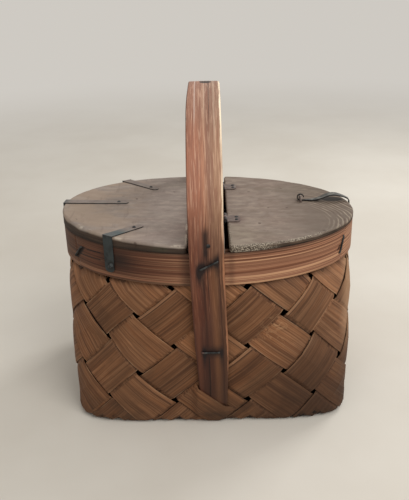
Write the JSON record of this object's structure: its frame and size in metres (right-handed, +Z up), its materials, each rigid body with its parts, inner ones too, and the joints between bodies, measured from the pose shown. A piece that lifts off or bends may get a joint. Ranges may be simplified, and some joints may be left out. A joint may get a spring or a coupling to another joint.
{
  "type": "splint basket with hinged lid",
  "caption": "Oval wood-splint basket with a bentwood hoop handle, a fixed lid board and a hinged lid board with an iron hasp.",
  "frame": {"origin": "on the floor under the middle of the basket", "axes": "+Z up; +X along the basket's length to the hinged lid board; +Y to the side that the hasp lies nearer to"},
  "size_m": [0.3835, 0.2832, 0.41],
  "materials": {
    "splint_wood": "weathered woven splint, worn dull",
    "band_wood": "fine straight grain, worn smooth",
    "handle_wood": "hand-polished, reddish brown, worn arrises",
    "lid_wood": "weathered grey-brown board with open grain",
    "iron": "forged, dark oxide with rust"
  },
  "bodies": {
    "basket": {"woven_body": "splint_wood", "tuck_splint_front": "splint_wood", "tuck_splint_back": "splint_wood", "rim_band_front": "band_wood", "rim_band_back": "band_wood", "rim_hoop_inner": "band_wood", "handle_hoop": "handle_wood", "centre_bar": "lid_wood", "lid_left": "lid_wood", "strap_front_left": "iron", "strap_end_left": "iron", "strap_back_left": "iron", "strap_nails": "iron", "strap_rivets": "iron", "handle_nails": "iron", "hinge_front_bar_leaf": "iron", "hinge_front_pin": "iron", "hinge_back_bar_leaf": "iron", "hinge_back_pin": "iron", "hinge_bar_nails": "iron", "catch_nail": "iron", "handle_staple_front_upper": "iron", "handle_staple_front_lower": "iron", "handle_staple_back_upper": "iron", "handle_staple_back_lower": "iron", "rim_staple_left": "iron", "rim_staple_right": "iron"},
    "lid": {"lid_right": "lid_wood", "hinge_front_lid_leaf": "iron", "hinge_back_lid_leaf": "iron", "hinge_lid_nails": "iron", "hasp_staple": "iron"},
    "hasp": {"hasp": "iron"}
  },
  "joints": [
    {"name": "lid_hinge", "type": "hinge", "parent": "basket", "child": "lid", "pos_m": [0.02125, 0.0155, 0.2514], "axis": [0, -1, 0], "range_deg": [0, 86]},
    {"name": "hasp_hinge", "type": "hinge", "parent": "lid", "child": "hasp", "pos_m": [0.124, 0.02, 0.25249], "axis": [0, -1, 0], "range_deg": [0, 165]}
  ]
}
